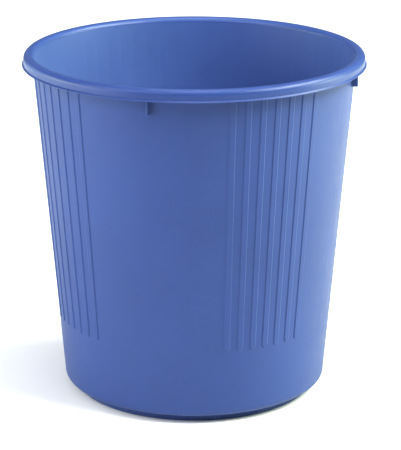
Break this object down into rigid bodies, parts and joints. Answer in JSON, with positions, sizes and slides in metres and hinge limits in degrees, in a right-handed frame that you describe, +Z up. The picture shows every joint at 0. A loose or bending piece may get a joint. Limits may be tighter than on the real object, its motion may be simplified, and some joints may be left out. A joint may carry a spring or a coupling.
{
  "type": "wastebasket",
  "caption": "Round open-topped office wastebasket with a sloping wall, recessed foot, ribbed side panels, rolled rim and stacking lugs.",
  "frame": {"origin": "centre of the flat ring that the bin stands on, at ground level", "axes": "+Z up along the bin's axis, -Y the front, with a stacking lug at each of -Y, +X, +Y and -X"},
  "size_m": [0.312, 0.312, 0.316],
  "materials": {
    "blue_plastic": "satin moulded polypropylene"
  },
  "bodies": {
    "root": {"floor_plate": "blue_plastic", "foot_ring": "blue_plastic", "foot_wall": "blue_plastic", "foot_ledge": "blue_plastic", "gate_mark": "blue_plastic", "bottom_corner": "blue_plastic", "wall_front": "blue_plastic", "wall_right": "blue_plastic", "wall_back": "blue_plastic", "wall_left": "blue_plastic", "rib_wall_front_right": "blue_plastic", "rib_wall_back_right": "blue_plastic", "rib_wall_back_left": "blue_plastic", "rib_wall_front_left": "blue_plastic", "ribs_front_right": "blue_plastic", "ribs_back_right": "blue_plastic", "ribs_back_left": "blue_plastic", "ribs_front_left": "blue_plastic", "lug_front": "blue_plastic", "lug_right": "blue_plastic", "lug_back": "blue_plastic", "lug_left": "blue_plastic", "rim_bead": "blue_plastic", "rim_skirt": "blue_plastic", "rim_lip": "blue_plastic"}
  },
  "joints": []
}
